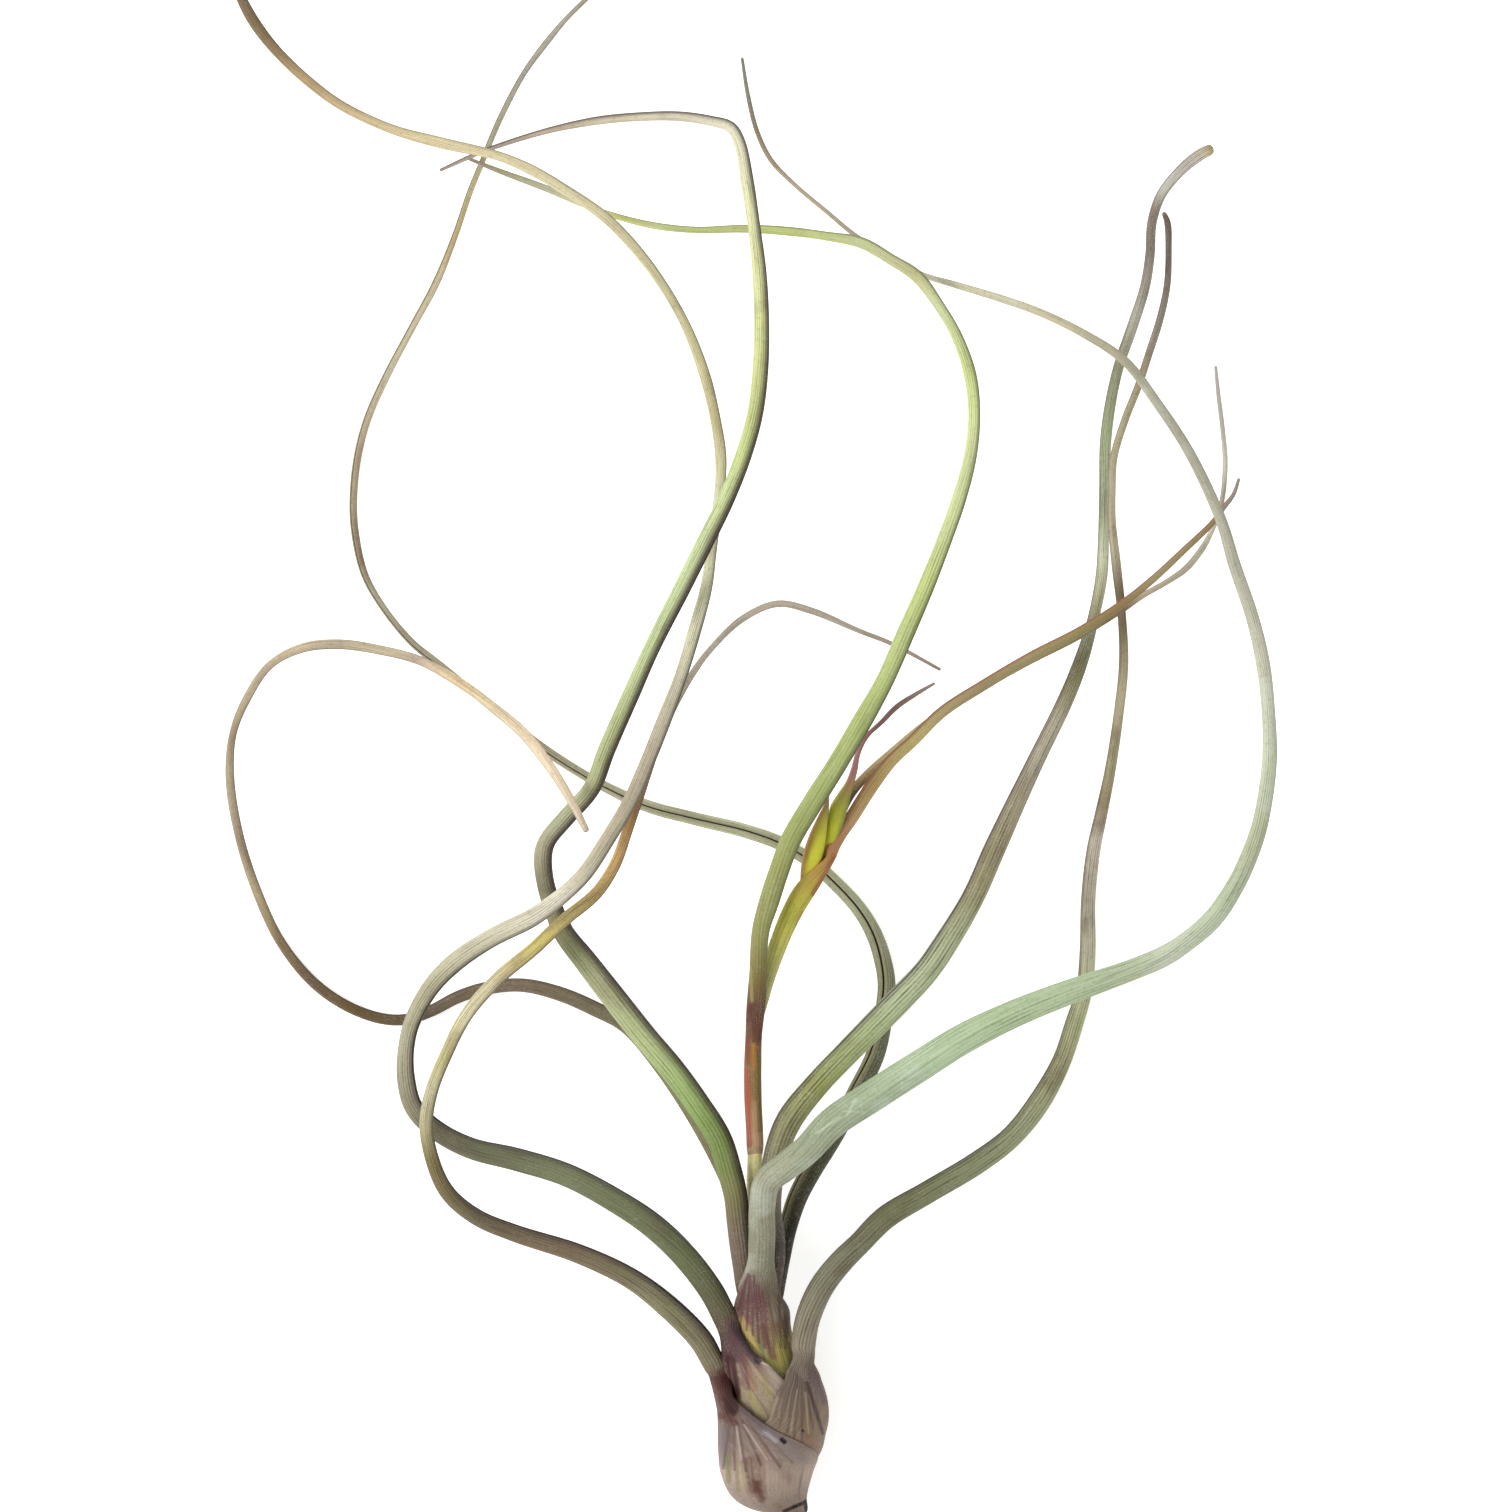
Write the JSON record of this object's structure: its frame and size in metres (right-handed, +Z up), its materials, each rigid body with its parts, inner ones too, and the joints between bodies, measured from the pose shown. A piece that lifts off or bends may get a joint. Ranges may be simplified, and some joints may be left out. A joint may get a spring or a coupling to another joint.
{
  "type": "air plant",
  "caption": "Picked air plant lying on its back: a small bulb of nested sheaths, long curling rolled leaves, and a flower stalk with leafy bracts and closed flower spikes.",
  "frame": {"origin": "middle of the small flat that the bulb rests on", "axes": "+Y runs from the bulb towards the leaf tips, +X to the right as seen from above, +Z up from the surface that the plant lies on"},
  "size_m": [0.2172, 0.3519, 0.0631],
  "materials": {
    "leaf_green": "satin matt, finely ribbed",
    "leaf_grey": "matt, with a silvery scurf",
    "leaf_dry": "matt, finely ribbed",
    "bract": "satin matt",
    "stem": "rough",
    "flower_stalk": "satin",
    "spike": "satin"
  },
  "bodies": {
    "root": {"leaf_1": "leaf_dry", "leaf_2": "leaf_grey", "leaf_3": "leaf_green", "leaf_4": "leaf_dry", "leaf_5": "leaf_green", "leaf_6": "leaf_grey", "leaf_7": "leaf_grey", "leaf_8": "leaf_dry", "bract_long": "bract", "bract_upper": "bract", "bract_inner": "bract", "stem": "stem", "flower_stalk": "flower_stalk", "spike_left": "spike", "spike_right": "spike"}
  },
  "joints": []
}
